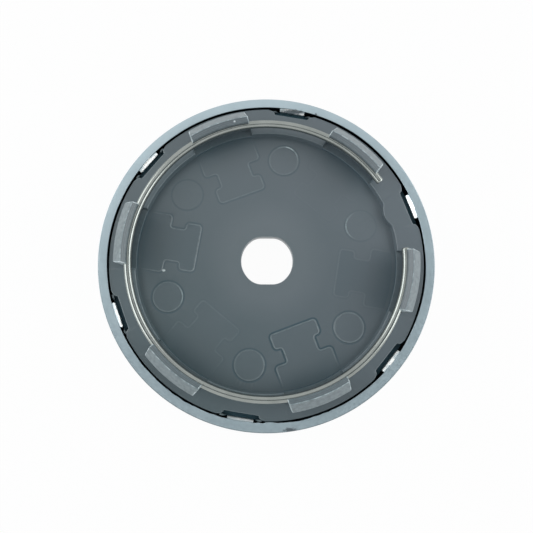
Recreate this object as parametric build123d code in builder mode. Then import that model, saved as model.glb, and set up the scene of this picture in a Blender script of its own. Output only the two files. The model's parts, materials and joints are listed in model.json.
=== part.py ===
from build123d import *
import os
from math import cos, hypot, radians, sin

# Wheel centre cap, clip side up: the bezel's crown lies on Z = 0, the axis of the cap is Z.
# All sizes are in millimetres and angles in degrees, counted from +X.

# Fit in the wheel
bore_diameter = 56.0          # centre bore of the wheel that the clips snap into
bore_clearance = 0.1          # radial play between the bore and the necks of the clips
shoulder_width = 4.5          # from the bore out to the rim of the cap

# Stations around the rim
station_count = 6
clip_angle = 50.5             # first clip, with a hook halfway to the one before it

# Trim ring
ring_band = 1.72              # width of its flat rear face
ring_lip = 2.78               # reach of its front lip, inward from its bore
ring_lip_edge = 1.2           # height of the lip at the front opening
ring_proud = 0.3              # rear face above the flange of the body
ring_edge_height = 0.8        # straight edge at the widest place
ring_crown_inset = 2.65       # from the rim in to the crown
ring_crown_width = 0.5        # flat that the cap lies on
ring_round = 0.12             # rounded edges of the rear face

# Hooks of the trim ring
hook_width = 5.0
hook_reach = 0.6              # inward from the bore of the ring
hook_nose = 0.7               # height of the blunt nose
hook_drop = 0.2               # top of the hook below the ring's rear face
hook_root = 0.6               # depth of the hook's root inside the ring
hook_clearance = 0.05         # between hook and ledge

# Body: front disc, dish and flange
ring_gap = 0.28               # dark slot between flange and ring
face_gap = 0.2                # play between front disc and ring lip
face_recess = 1.5             # front disc behind the bezel's crown
plate_thickness = 2.3
dish_depth = 1.3              # floor below the flange
dish_draft = 0.15             # the dish wall leans out by this much
flange_thickness = 2.8
rim_step = 1.25               # from the clips' inner face in to the dish
rim_round = 0.25              # rounded edges of the flange
face_round = 0.3              # rounded edge of the front disc
hub_hole_diameter = 10.2
hub_flat_depth = 0.4          # of each of its two flats
hub_corner = 3.5              # rounding where the flats run out

# Notches in the flange that let the hooks catch
notch_depth = 1.3             # ledge below the flange
notch_reach = 1.2             # radial depth of the notch
notch_floor_width = 6.6
notch_side = 0.55             # radial height of its steep sides
notch_lean = 0.2              # of the steep sides
notch_flare = 4.0             # run-out of each shoulder, at the bore of the ring
notch_round = 0.9             # rounded shoulders

# Clips
clip_width = 11.6
clip_wall = 1.22              # at the neck
clip_top_inset = 0.8          # from the neck in to the top ridge
clip_top_width = 0.3
clip_corner = 1.1             # rounded outer corners in plan
clip_root = 0.6               # depth of the root inside the flange
barb_reach = 0.88             # outward from the neck
neck_height = 2.5             # from the flange up to the barb
barb_rise = 0.7               # slope from the neck out to the barb's edge
barb_edge = 0.3               # height of the barb's edge
lip_reach = 0.48              # inward from the clips' inner face, over the wire
lip_height = 1.6              # from the middle of the wire up to the lip's nose
lip_slope = 0.8               # from the nose up to the top ridge
pocket_depth = 0.9            # flange cut away behind each clip
pocket_margin = 0.15          # on each side of the clip

# Spring wire
wire_diameter = 1.5
wire_clearance = 0.05         # in the grooves of the clips
wire_height = 3.0             # centre of the wire above the flange
groove_backing = 0.91         # material between groove and neck
wire_lead = 16.5              # the first end, ahead of the middle of the first clip
wire_gap = 30.0               # open angle of the ring

# Marks that the mould leaves on the floor of the dish
mark_depth = 0.12
faint_mark_depth = 0.05
clear_marks = (1, 2, 4)       # clips whose marks are sharp, counted from the first
faint_marks = (0, 3, 5)
mark_border = 0.3             # from the dish wall in to the base of a T-shaped mark
mark_base_length = 5.05       # radial lengths of its base, neck and foot
mark_neck_length = 3.2
mark_foot_length = 2.85
mark_neck_width = 6.35
mark_base_step = 2.5          # base wider than the neck, on each side
mark_foot_step = 1.45         # foot wider than the neck, on each side
mark_round = 0.65             # rounded corners of the marks
pin_inset = 4.9               # from the dish wall in to the circle of the ejector pins
pin_diameter = 5.7
boss_pin_inset = 0.8          # the pin beside the boss stands further in

# Boss on the dish wall, at the first hook
boss_diameter = 7.1
boss_reach = 0.8              # inward from the dish wall

# Angles
station_pitch = 360 / station_count
hook_angle = clip_angle - station_pitch / 2
wire_start = clip_angle - wire_lead

# Radii that follow from the fit
neck_radius = bore_diameter / 2 - bore_clearance
outer_radius = bore_diameter / 2 + shoulder_width
ring_bore_radius = outer_radius - ring_band
opening_radius = ring_bore_radius - ring_lip
crown_radius = outer_radius - ring_crown_inset
flange_radius = ring_bore_radius - ring_gap
face_radius = opening_radius - face_gap
clip_inner_radius = neck_radius - clip_wall
clip_top_radius = neck_radius - clip_top_inset
barb_radius = neck_radius + barb_reach
lip_radius = clip_inner_radius - lip_reach
dish_radius = clip_inner_radius - rim_step
floor_radius = dish_radius - dish_draft
pin_radius = floor_radius - pin_inset
mark_end_radius = floor_radius - mark_border
groove_radius = wire_diameter / 2 + wire_clearance
wire_radius = neck_radius - groove_backing - groove_radius

# Heights above the bezel's crown
face_z = face_recess
floor_z = face_z + plate_thickness
flange_z = floor_z + dish_depth
flange_front_z = flange_z - flange_thickness
ledge_z = flange_z - notch_depth
pocket_z = flange_z - pocket_depth
root_z = pocket_z - clip_root
wire_z = flange_z + wire_height
barb_foot_z = flange_z + neck_height
barb_low_z = barb_foot_z + barb_rise
barb_high_z = barb_low_z + barb_edge
lip_z = wire_z + lip_height
clip_top_z = lip_z + lip_slope
ring_rear_z = flange_z + ring_proud
ring_edge_z = ring_rear_z - ring_edge_height

os.makedirs("parts", exist_ok=True)


def lifter_marks(stations):
    """T-shaped outlines that lead from the dish floor out to the given clips."""
    base_edge = mark_end_radius - mark_base_length
    foot_edge = base_edge - mark_neck_length
    half_neck = mark_neck_width / 2
    half = [
        (foot_edge - mark_foot_length, half_neck + mark_foot_step),
        (foot_edge, half_neck + mark_foot_step),
        (foot_edge, half_neck),
        (base_edge, half_neck),
        (base_edge, half_neck + mark_base_step),
        (dish_radius, half_neck + mark_base_step),
    ]
    shortest_edge = min(mark_foot_step, mark_base_step, mark_neck_length, mark_foot_length)
    with BuildSketch() as marks:
        for station in stations:
            with PolarLocations(0, 1, start_angle=clip_angle + station * station_pitch):
                Polygon(*half, *[(x, -y) for x, y in reversed(half)], align=None)
        inner_corners = marks.vertices().filter_by(lambda v: hypot(v.X, v.Y) < mark_end_radius)
        fillet(inner_corners, radius=min(mark_round, 0.45 * shortest_edge))
        Circle(mark_end_radius, mode=Mode.INTERSECT)
    return marks.sketch


clear_outlines = lifter_marks(clear_marks)
faint_outlines = lifter_marks(faint_marks)

# Clips: one turned section with barb, lip and wire groove, cut to six parallel-sided blades
with BuildPart() as clips:
    with BuildSketch(Plane.XZ):
        with BuildLine():
            Polyline(
                (clip_inner_radius, root_z),
                (neck_radius, root_z),
                (neck_radius, barb_foot_z),
                (barb_radius, barb_low_z),
                (barb_radius, barb_high_z),
                (clip_top_radius, clip_top_z),
                (clip_top_radius - clip_top_width, clip_top_z),
                (lip_radius, lip_z),
                (lip_radius, wire_z),
                (clip_inner_radius, wire_z),
                close=True,
            )
        make_face()
        with Locations((wire_radius, wire_z)):
            Circle(groove_radius, mode=Mode.SUBTRACT)
    revolve(axis=Axis.Z)
    with BuildSketch(Plane.XY.offset(root_z)) as blades:
        with PolarLocations(0, station_count, start_angle=clip_angle):
            with Locations((barb_radius, 0)):
                Rectangle(barb_radius, clip_width, align=(Align.MAX, Align.CENTER))
        outer_corners = blades.vertices().filter_by(lambda v: hypot(v.X, v.Y) > barb_radius)
        fillet(outer_corners, radius=clip_corner)
    extrude(amount=clip_top_z - root_z, mode=Mode.INTERSECT)

# Body: a dished plate with a raised flange, moulded in one piece with its clips
with BuildPart() as cap_body:
    with BuildSketch(Plane.XZ) as body_section:
        with BuildLine():
            Polyline(
                (0, face_z),
                (face_radius, face_z),
                (face_radius, flange_front_z),
                (flange_radius, flange_front_z),
                (flange_radius, flange_z),
                (dish_radius, flange_z),
                (floor_radius, floor_z),
                (0, floor_z),
                close=True,
            )
        make_face()
        flange_edges = body_section.vertices().group_by(Axis.Y)[-1]
        fillet(flange_edges, radius=rim_round)
        face_edge = body_section.vertices().group_by(Axis.Y)[0].sort_by(Axis.X)[-1]
        fillet(face_edge, radius=face_round)
    revolve(axis=Axis.Z)

    # Boss on the dish wall
    with BuildSketch(Plane.XY.offset(floor_z)):
        with PolarLocations(dish_radius - boss_reach + boss_diameter / 2, 1, start_angle=hook_angle):
            Circle(boss_diameter / 2)
        Circle(clip_inner_radius, mode=Mode.INTERSECT)
    extrude(amount=dish_depth)

    # Notches with flared, rounded sides
    with BuildSketch(Plane.XY.offset(ledge_z)) as notches:
        notch_floor = (flange_radius - notch_reach, notch_floor_width / 2)
        shoulder = (notch_floor[0] + notch_side, notch_floor[1] + notch_lean)
        mouth = (ring_bore_radius, shoulder[1] + notch_flare)
        corners = [notch_floor, shoulder, mouth]
        mirrored = [(x, -y) for x, y in reversed(corners)]
        with PolarLocations(0, station_count, start_angle=hook_angle):
            Polygon(*corners, *mirrored, align=None)
        shoulder_distance = hypot(*shoulder)
        shoulders = notches.vertices().filter_by(lambda v: abs(hypot(v.X, v.Y) - shoulder_distance) < 0.01)
        fillet(shoulders, radius=notch_round)
    extrude(amount=notch_depth, mode=Mode.SUBTRACT)

    # Pockets that free the inner faces of the clips
    with BuildSketch(Plane.XY.offset(pocket_z)):
        with PolarLocations(0, station_count, start_angle=clip_angle):
            Rectangle(outer_radius, clip_width + 2 * pocket_margin, align=(Align.MIN, Align.CENTER))
        Circle(clip_inner_radius, mode=Mode.INTERSECT)
        Circle(floor_radius, mode=Mode.SUBTRACT)
    extrude(amount=pocket_depth, mode=Mode.SUBTRACT)

    add(clips.part)

    # Hub hole with two flats
    with BuildSketch(Plane.XY.offset(face_z)) as hub_hole:
        Circle(hub_hole_diameter / 2)
        Rectangle(hub_hole_diameter, hub_hole_diameter - 2 * hub_flat_depth, mode=Mode.INTERSECT)
        fillet(hub_hole.vertices(), radius=min(hub_corner, 0.45 * hub_hole_diameter - hub_flat_depth))
    extrude(amount=plate_thickness, mode=Mode.SUBTRACT)

    # Mould marks, sunk a little into the floor
    with BuildSketch(Plane.XY.offset(floor_z)):
        add(clear_outlines)
        with PolarLocations(pin_radius - boss_pin_inset, 1, start_angle=hook_angle):
            Circle(pin_diameter / 2)
        with PolarLocations(
            pin_radius, station_count - 1, start_angle=hook_angle + station_pitch, angular_range=360 - station_pitch
        ):
            Circle(pin_diameter / 2)
    extrude(amount=-mark_depth, mode=Mode.SUBTRACT)
    with BuildSketch(Plane.XY.offset(floor_z)):
        add(faint_outlines)
    extrude(amount=-faint_mark_depth, mode=Mode.SUBTRACT)

# Spring wire: an open ring that sits in the grooves of the clips
with BuildPart() as spring_wire:
    start = radians(wire_start)
    start_plane = Plane((0, 0, 0), x_dir=(cos(start), sin(start), 0), z_dir=(sin(start), -cos(start), 0))
    with BuildSketch(start_plane):
        with Locations((wire_radius, wire_z)):
            Circle(wire_diameter / 2)
    revolve(axis=Axis.Z, revolution_arc=360 - wire_gap)

# Trim ring: a convex bezel with a front lip, and hooks that hold the body against that lip
with BuildPart() as trim_ring:
    with BuildSketch(Plane.XZ) as ring_section:
        with BuildLine():
            Polyline(
                (outer_radius, ring_edge_z),
                (outer_radius, ring_rear_z),
                (ring_bore_radius, ring_rear_z),
                (ring_bore_radius, flange_front_z),
                (opening_radius, flange_front_z),
                (opening_radius, flange_front_z - ring_lip_edge),
            )
            TangentArc(
                (crown_radius - ring_crown_width, 0),
                (opening_radius, flange_front_z - ring_lip_edge),
                tangent=(-1, 0),
            )
            Line((crown_radius - ring_crown_width, 0), (crown_radius, 0))
            EllipticalCenterArc(
                (crown_radius, ring_edge_z),
                x_radius=ring_crown_inset,
                y_radius=ring_edge_z,
                start_angle=270,
                arc_size=90,
            )
        make_face()
        rear_edges = ring_section.vertices().group_by(Axis.Y)[-1]
        fillet(rear_edges, radius=ring_round)
    revolve(axis=Axis.Z)

    hook_low_z = ledge_z + hook_clearance
    hook_tip_radius = ring_bore_radius - hook_reach
    with BuildSketch(Plane.XZ) as hook_section:
        Polygon(
            (hook_tip_radius, hook_low_z),
            (ring_bore_radius + hook_root, hook_low_z),
            (ring_bore_radius + hook_root, ring_rear_z - hook_drop),
            (ring_bore_radius, ring_rear_z - hook_drop),
            (hook_tip_radius, hook_low_z + hook_nose),
            align=None,
        )
    hook = extrude(amount=hook_width / 2, both=True, mode=Mode.PRIVATE)
    with PolarLocations(0, station_count, start_angle=hook_angle):
        add(hook)

for piece, name in ((cap_body, "cap_body"), (spring_wire, "spring_wire"), (trim_ring, "trim_ring")):
    piece.part.label = name
    export_step(piece.part, f"parts/{name}.step")
    size = piece.part.bounding_box().size
    print(f"{name}: {size.X:.2f} x {size.Y:.2f} x {size.Z:.2f} mm, {piece.part.volume:.1f} mm3")
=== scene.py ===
# %% [markdown]
# # Wheel centre cap, clip side up
# The cap is three pieces: a dished grey body with six spring clips, a split ring of steel wire that
# spreads the clips, and a silver trim ring whose hooks hold the body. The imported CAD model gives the
# size and place of each piece. This lesson rebuilds them as smooth meshes with rounded edges, because
# it is the thin light along the edges that makes moulded plastic look moulded.

# %% Load the frame and read the driving sizes
import json
from math import acos, atan2, cos, degrees, pi, radians, sin, sqrt, tan

import bmesh
import bpy
import numpy as np
from mathutils import Euler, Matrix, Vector, geometry

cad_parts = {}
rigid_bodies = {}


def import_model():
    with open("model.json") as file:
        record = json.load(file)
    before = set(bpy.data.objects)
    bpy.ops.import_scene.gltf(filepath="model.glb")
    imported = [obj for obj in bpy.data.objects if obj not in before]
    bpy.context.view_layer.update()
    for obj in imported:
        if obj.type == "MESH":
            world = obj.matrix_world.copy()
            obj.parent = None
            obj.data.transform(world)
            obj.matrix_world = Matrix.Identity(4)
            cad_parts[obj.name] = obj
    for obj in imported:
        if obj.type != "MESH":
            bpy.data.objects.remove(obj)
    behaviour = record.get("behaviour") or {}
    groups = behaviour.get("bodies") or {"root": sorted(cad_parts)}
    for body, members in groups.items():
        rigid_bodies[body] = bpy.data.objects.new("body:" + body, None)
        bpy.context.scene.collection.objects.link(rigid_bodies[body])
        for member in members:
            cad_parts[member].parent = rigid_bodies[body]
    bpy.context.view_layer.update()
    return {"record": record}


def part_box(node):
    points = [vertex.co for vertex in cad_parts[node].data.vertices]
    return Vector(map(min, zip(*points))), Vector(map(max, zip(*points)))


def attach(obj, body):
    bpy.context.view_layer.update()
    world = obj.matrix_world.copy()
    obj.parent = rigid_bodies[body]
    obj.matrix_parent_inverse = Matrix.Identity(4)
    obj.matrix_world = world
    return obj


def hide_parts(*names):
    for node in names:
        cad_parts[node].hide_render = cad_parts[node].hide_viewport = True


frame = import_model()

MM = 0.001  # outlines are drawn in millimetres and scaled when a mesh is made
CLIP_ROOM = 0.02  # left above the clips, because they are made uneven

ring_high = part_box("trim_ring")[1] / MM
body_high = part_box("cap_body")[1] / MM
wire_low, wire_high = (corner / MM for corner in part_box("spring_wire"))
mounts = {mount["name"]: mount for mount in frame["record"]["mounts"]}

rim_radius = ring_high.x
ring_rear_z = mounts["rear_seat"]["pos_m"][2] / MM
face_z = mounts["front_seat"]["pos_m"][2] / MM
flange_z = mounts["wheel_bore_clips"]["pos_m"][2] / MM
neck_radius = mounts["wheel_bore_clips"]["dims"]["r_mm"]
flange_radius = body_high.x
clip_top_z = body_high.z - CLIP_ROOM
wire_diameter = wire_high.z - wire_low.z
wire_z = (wire_high.z + wire_low.z) / 2
wire_radius = wire_high.y - wire_diameter / 2

STATIONS = 6
PITCH = 360 / STATIONS
CLIP_ANGLE = 50.5
HOOK_ANGLE = CLIP_ANGLE - PITCH / 2
print(f"rim {rim_radius:.2f} mm, flange {flange_radius:.2f} mm")
print(f"wire {wire_diameter:.2f} mm thick, on a circle of {wire_radius:.2f} mm")

# %% [markdown]
# ## Camera
# The photograph looks down on the clip side from close by, tipped a little towards the lower edge, so
# near things look larger. The tilt, the distance and the focal length come from matching the ellipses
# of the rim.

# %% Camera
IMAGE_SIDE = 533  # pixels
FOCAL = 548.5  # pixels
TILT, PAN = 8.0, -1.0  # degrees off the axis of the cap, towards the top and the right
DISTANCE = 107.2  # from the point aimed at
AIM = Vector((0, 0, 4.0))
AIM_PIXEL = (267.1, 260.2)  # where the photograph shows that point

camera_data = bpy.data.cameras.new("camera")
camera_data.sensor_width = 36.0
camera_data.lens = camera_data.sensor_width * FOCAL / IMAGE_SIDE
camera_data.shift_x = (IMAGE_SIDE / 2 - AIM_PIXEL[0]) / IMAGE_SIDE
camera_data.shift_y = (AIM_PIXEL[1] - IMAGE_SIDE / 2) / IMAGE_SIDE
camera_data.clip_start = 0.005
camera = bpy.data.objects.new("camera", camera_data)
camera.rotation_euler = Euler((radians(TILT), radians(PAN), 0))
camera.location = (AIM + camera.rotation_euler.to_matrix() @ Vector((0, 0, DISTANCE))) * MM
bpy.context.scene.collection.objects.link(camera)
bpy.context.scene.camera = camera
print(f"camera {camera_data.lens:.1f} mm, {DISTANCE:.0f} mm away")

# %% [markdown]
# ## Stage and light
# The photograph is a catalogue picture: white ground, no hard shadow. The floor and the world show plain
# white to camera, glossy and transmitted rays, and light the object softly otherwise. Two wide softboxes
# stand low at the left and the right, which draws the bright lines along the wire. A U-shaped grey card
# hangs above the camera: plastic that mirrors the card looks calm, and plastic that mirrors the white
# beside it shines.

# %% Node helpers
def node(tree, kind, inputs=None, **settings):
    """Adds a node with its settings; inputs, by name or number, take a socket or a plain value."""
    made = tree.nodes.new(kind)
    for name, setting in settings.items():
        setattr(made, name, setting)
    for label, given in (inputs or {}).items():
        if isinstance(given, bpy.types.NodeSocket):
            tree.links.new(given, made.inputs[label])
        else:
            made.inputs[label].default_value = given
    return made


def math_node(tree, operation, *operands, clamp=False):
    """The result of a Math node whose operands are sockets or numbers."""
    inputs = dict(enumerate(operands))
    return node(tree, "ShaderNodeMath", inputs, operation=operation, use_clamp=clamp).outputs[0]


def vector_node(tree, operation, *operands):
    """The outputs of a Vector Math node whose operands are sockets or vectors."""
    return node(tree, "ShaderNodeVectorMath", dict(enumerate(operands)), operation=operation).outputs


def remap(tree, value, low, high, to_low=0.0, to_high=1.0, shape="LINEAR"):
    """A value stretched from one range to another, and kept within it."""
    inputs = {"Value": value, "From Min": low, "From Max": high, "To Min": to_low, "To Max": to_high}
    stretched = node(tree, "ShaderNodeMapRange", inputs, clamp=True, interpolation_type=shape)
    return stretched.outputs["Result"]


def blank(made):
    """The emptied node tree of a material or a world."""
    made.use_nodes = True
    made.node_tree.nodes.clear()
    return made.node_tree


def white_to_eye(tree):
    """1 for camera, glossy and transmitted rays, 0 for the rays that carry soft light."""
    path = node(tree, "ShaderNodeLightPath").outputs
    seen = math_node(tree, "MAXIMUM", path["Is Camera Ray"], path["Is Glossy Ray"])
    return math_node(tree, "MAXIMUM", seen, path["Is Transmission Ray"])


print("node helpers: node, math_node, vector_node, remap, blank, white_to_eye")

# %% Floor
FLOOR_HALF = 3.0  # metres, as all of the stage
FLOOR_CORNERS = ((-1, -1), (1, -1), (1, 1), (-1, 1))
FLOOR_OUTLINE = [(x * FLOOR_HALF, y * FLOOR_HALF) for x, y in FLOOR_CORNERS]
FLOOR_PAINT = (0.86, 0.87, 0.88, 1)
FLOOR_SHADE = 0.04  # share of real shading that keeps a faint shadow on the floor

scene = bpy.context.scene
scene.view_settings.view_transform = "Standard"


def stage_sheet(name, outline, height, material):
    """A flat sheet of the stage, from its outline."""
    mesh = bpy.data.meshes.new(name)
    mesh.from_pydata([(x, y, height) for x, y in outline], [], [range(len(outline))])
    mesh.materials.append(material)
    made = bpy.data.objects.new(name, mesh)
    scene.collection.objects.link(made)
    return made


floor_paint = bpy.data.materials.new("pale_floor")
tree = blank(floor_paint)
share = math_node(tree, "MULTIPLY", white_to_eye(tree), 1 - FLOOR_SHADE)
shaded = node(tree, "ShaderNodeBsdfDiffuse", {"Color": FLOOR_PAINT}).outputs[0]
glow = node(tree, "ShaderNodeEmission").outputs[0]
mixed = node(tree, "ShaderNodeMixShader", {0: share, 1: shaded, 2: glow}).outputs[0]
node(tree, "ShaderNodeOutputMaterial", {"Surface": mixed})
floor = stage_sheet("floor", FLOOR_OUTLINE, 0.0, floor_paint)
print(f"floor: {2 * FLOOR_HALF:.0f} m square")

# %% World
SOFT_TINT = (0.96, 0.985, 1.0, 1)
SOFT_LOW, SOFT_HIGH = 0.66, 0.38  # radiance for soft light, near the horizon and overhead
SOFT_HEIGHTS = (0.35, 0.85)  # heights on a unit sphere between which it changes
WHITE = (1, 1, 1, 1)

world = bpy.data.worlds.new("studio")
scene.world = world
tree = blank(world)
direction = node(tree, "ShaderNodeTexCoord").outputs["Generated"]
height = node(tree, "ShaderNodeSeparateXYZ", {0: direction}).outputs["Z"]
strength = remap(tree, height, *SOFT_HEIGHTS, SOFT_LOW, SOFT_HIGH, shape="SMOOTHSTEP")
soft = node(tree, "ShaderNodeBackground", {"Color": SOFT_TINT, "Strength": strength}).outputs[0]
plain = node(tree, "ShaderNodeBackground", {"Color": WHITE}).outputs[0]
mixed = node(tree, "ShaderNodeMixShader", {0: white_to_eye(tree), 1: soft, 2: plain}).outputs[0]
node(tree, "ShaderNodeOutputWorld", {"Surface": mixed})
print(f"world: soft light from {SOFT_LOW} at the horizon to {SOFT_HIGH} overhead")

# %% Softboxes
SOFTBOX_SIZE = (0.42, 0.20)
SOFTBOXES = {  # place, and power in watts
    "softbox_left": ((-0.30, 0.04, 0.18), 0.64),
    "softbox_right": ((0.30, 0.03, 0.18), 0.62),
}
for name, (place, power) in SOFTBOXES.items():
    lamp = bpy.data.lights.new(name, "AREA")
    lamp.shape = "RECTANGLE"
    lamp.size, lamp.size_y = SOFTBOX_SIZE
    lamp.energy = power
    softbox = bpy.data.objects.new(name, lamp)
    softbox.location = place
    softbox.rotation_mode = "QUATERNION"
    softbox.rotation_quaternion = Vector(place).to_track_quat("Z", "Y")
    scene.collection.objects.link(softbox)
print("lamps:", ", ".join(SOFTBOXES))

# %% Card
CARD_Z = 0.26
CARD_HALF, CARD_FRONT, CARD_BACK = 0.24, -0.10, -0.005
CARD_RIGHT = (0.062, 0.118)  # inner edge of the right arm, and how far back it reaches
CARD_LEFT = (-0.085, 0.05)
CARD_OUTLINE = (
    (-CARD_HALF, CARD_FRONT),
    (CARD_HALF, CARD_FRONT),
    (CARD_HALF, CARD_RIGHT[1]),
    CARD_RIGHT,
    (CARD_RIGHT[0], CARD_BACK),
    (CARD_LEFT[0], CARD_BACK),
    CARD_LEFT,
    (-CARD_HALF, CARD_LEFT[1]),
)


def finish(name, **constants):
    """A material with its shader; constants name the shader's own sockets."""
    made = bpy.data.materials.new(name)
    made.use_nodes = True
    shader = made.node_tree.nodes["Principled BSDF"]
    for label, value in constants.items():
        shader.inputs[label.replace("_", " ")].default_value = value
    return made, made.node_tree, shader


card_paint = finish("grey_card", Base_Color=(0.22, 0.245, 0.255, 1), Roughness=1.0)[0]
card = stage_sheet("overhead_card", CARD_OUTLINE, CARD_Z, card_paint)
card.visible_camera = False
print(f"card: {len(CARD_OUTLINE)} corners, {CARD_Z} m up")

# %% [markdown]
# ## Shared effects
# Three effects are used by more than one finish, so each is a node group built once. Edge light and
# shade turns the edge value of the mesh into a broken painted highlight, or into painted shade. Grain gives
# soft clouds and a fine height. A smudge marks one place on the surface, with a ragged outline.

# %% Group helpers
NOISE_SPAN = (0.3, 0.7)  # most of a noise texture lies between these


def group(name, inputs, outputs):
    """An empty shader node group; inputs are name: (kind, default), outputs are names of numbers."""
    made = bpy.data.node_groups.new(name, "ShaderNodeTree")
    for label, (kind, default) in inputs.items():
        socket = made.interface.new_socket(label, in_out="INPUT", socket_type=f"NodeSocket{kind}")
        socket.default_value = default
    for label in outputs:
        made.interface.new_socket(label, in_out="OUTPUT", socket_type="NodeSocketFloat")
    return made, made.nodes.new("NodeGroupInput").outputs


def noise(tree, vector, scale, detail=2.0, roughness=0.5):
    """The grey value of a noise texture."""
    inputs = {"Vector": vector, "Scale": scale, "Detail": detail, "Roughness": roughness}
    return node(tree, "ShaderNodeTexNoise", inputs).outputs["Fac"]


print("group helpers: group, noise")

# %% Scuffed edges
EDGE_LIGHT_SPAN = (0.3, 0.62)  # noise between which a painted edge highlight goes from faint to whole
EDGE_LIGHT_FAINTEST = 0.35


def scuffed_edges():
    """The edge value of the mesh as a painted highlight mask broken up by noise; values below 0 come out as
    painted shade.
    """
    inputs = {"Breakup": ("Float", 900.0), "Strength": ("Float", 1.0)}
    tree, given = group("scuffed_edges", inputs, ("Mask", "Shade"))
    edge = node(tree, "ShaderNodeAttribute", attribute_name="edge").outputs["Fac"]
    place = node(tree, "ShaderNodeTexCoord").outputs["Object"]
    broken = remap(tree, noise(tree, place, given["Breakup"]), *EDGE_LIGHT_SPAN, EDGE_LIGHT_FAINTEST, 1.0)
    mask = math_node(tree, "MULTIPLY", edge, broken)
    mask = math_node(tree, "MULTIPLY", mask, given["Strength"], clamp=True)
    shade = math_node(tree, "MULTIPLY", edge, -1.0, clamp=True)
    node(tree, "NodeGroupOutput", {"Mask": mask, "Shade": shade})
    return tree


EFFECTS = {"scuffed_edges": scuffed_edges()}
print("effects:", ", ".join(EFFECTS))


# %% Grain
def grain():
    """Soft clouds and a fine height."""
    inputs = {"Cloud Scale": ("Float", 60.0), "Fine Scale": ("Float", 3000.0)}
    tree, given = group("grain", inputs, ("Cloud", "Height"))
    place = node(tree, "ShaderNodeTexCoord").outputs["Object"]
    cloud = remap(tree, noise(tree, place, given["Cloud Scale"], 4.0, 0.55), *NOISE_SPAN)
    height = noise(tree, place, given["Fine Scale"], 3.0, 0.6)
    node(tree, "NodeGroupOutput", {"Cloud": cloud, "Height": height})
    return tree


EFFECTS["grain"] = grain()
print("effects:", ", ".join(EFFECTS))

# %% Smudge
SMUDGE_NOISE = 2200.0
SMUDGE_FADE = (0.55, 1.05)  # shares of the half size between which a smudge fades out


def smudge():
    """A mask round one place, ragged at its border."""
    inputs = {
        "Centre": ("Vector", (0, 0, 0)),
        "Half Size": ("Vector", (0.001,) * 3),
        "Ragged": ("Float", 0.5),
    }
    tree, given = group("smudge", inputs, ("Mask",))
    place = node(tree, "ShaderNodeTexCoord").outputs["Object"]
    away = vector_node(tree, "SUBTRACT", place, given["Centre"])[0]
    scaled = vector_node(tree, "DIVIDE", away, given["Half Size"])[0]
    share = vector_node(tree, "LENGTH", scaled)["Value"]
    wobble = math_node(tree, "SUBTRACT", noise(tree, place, SMUDGE_NOISE, 3.0, 0.7), 0.5)
    share = math_node(tree, "ADD", share, math_node(tree, "MULTIPLY", wobble, given["Ragged"]))
    node(tree, "NodeGroupOutput", {"Mask": remap(tree, share, *SMUDGE_FADE, 1.0, 0.0)})
    return tree


EFFECTS["smudge"] = smudge()
print("effects:", ", ".join(EFFECTS))

# %% [markdown]
# ## Finishes
# Each finish is one Principled shader. Numbers that hold all over the surface are set on the shader, and
# only what changes from place to place comes through nodes: the colour, the roughness, the weight of the
# coat and the fine bump.

# %% Finish helpers
MIX_SHARE, MIX_FIRST, MIX_SECOND, MIX_RESULT = 0, 6, 7, 2  # sockets of a Mix node that mixes colours
SPOT_RAGGED = 1.6


def effect(tree, name, **values):
    """Places a shared effect with its own values."""
    inputs = {label.replace("_", " "): value for label, value in values.items()}
    return node(tree, "ShaderNodeGroup", inputs, node_tree=EFFECTS[name]).outputs


def blend_colour(tree, share, first, second):
    """Mixes a colour with a paint by a share; the colour may be a socket or a paint too."""
    if not isinstance(first, bpy.types.NodeSocket):
        first = (*first, 1)
    inputs = {MIX_SHARE: share, MIX_FIRST: first, MIX_SECOND: (*second, 1)}
    return node(tree, "ShaderNodeMix", inputs, data_type="RGBA").outputs[MIX_RESULT]


def spotted(tree, colour, paint, base_z, spots):
    """Lays small marks of one paint over a colour.

    A spot is its distance from the axis, angle, height above base_z, half width and half length."""
    for radius, angle, height, width, length in spots:
        turn = radians(angle)
        centre = (radius * cos(turn) * MM, radius * sin(turn) * MM, (base_z + height) * MM)
        half_size = (length * MM, width * MM, width * MM)
        mask = effect(tree, "smudge", Centre=centre, Half_Size=half_size, Ragged=SPOT_RAGGED)["Mask"]
        colour = blend_colour(tree, mask, colour, paint)
    return colour


def bump(tree, height, relief):
    """The normal of a surface with a height, in metres of relief."""
    return node(tree, "ShaderNodeBump", {"Distance": relief, "Height": height}).outputs["Normal"]


def feed(tree, shader, **given):
    """Links what changes over the surface to the shader's inputs."""
    for label, socket in given.items():
        tree.links.new(socket, shader.inputs[label.replace("_", " ")])


print("finish helpers: effect, blend_colour, spotted, bump, feed")

# %% [markdown]
# ### Grey plastic
# Moulded grey plastic is never one grey. This one has painted shading, darker and more teal on one side
# and lighter and greyer on the other, painted light that makes it paler round the hub hole, and painted
# shade at the foot of the dish behind the clips. Its sheen is a soft coat over a dull base, so that shade
# can take the sheen away together with the colour.

# %% Places on the floor
BEHIND_CLIP = (-0.6, 0.8)  # on a wave that is 1 at each clip and -1 at each hook
FLOOR_MASK = (1.2, 0.9)  # below the flange, where the mask of the floor fades out


def floor_places(tree):
    """The distance from the axis, and a mask of the floor of the dish for painted shade, peaking behind
    each clip.
    """
    place = node(tree, "ShaderNodeTexCoord").outputs["Object"]
    split = node(tree, "ShaderNodeSeparateXYZ", {0: place}).outputs
    flat = vector_node(tree, "MULTIPLY", place, (1, 1, 0))[0]
    radius = vector_node(tree, "LENGTH", flat)["Value"]
    angle = math_node(tree, "ARCTAN2", split["Y"], split["X"])
    angle = math_node(tree, "SUBTRACT", angle, radians(CLIP_ANGLE))
    wave = math_node(tree, "COSINE", math_node(tree, "MULTIPLY", angle, float(STATIONS)))
    mask_z = [(flange_z - depth) * MM for depth in FLOOR_MASK]
    on_floor = remap(tree, split["Z"], *mask_z, 1.0, 0.0)
    return radius, math_node(tree, "MULTIPLY", remap(tree, wave, *BEHIND_CLIP), on_floor)


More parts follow.
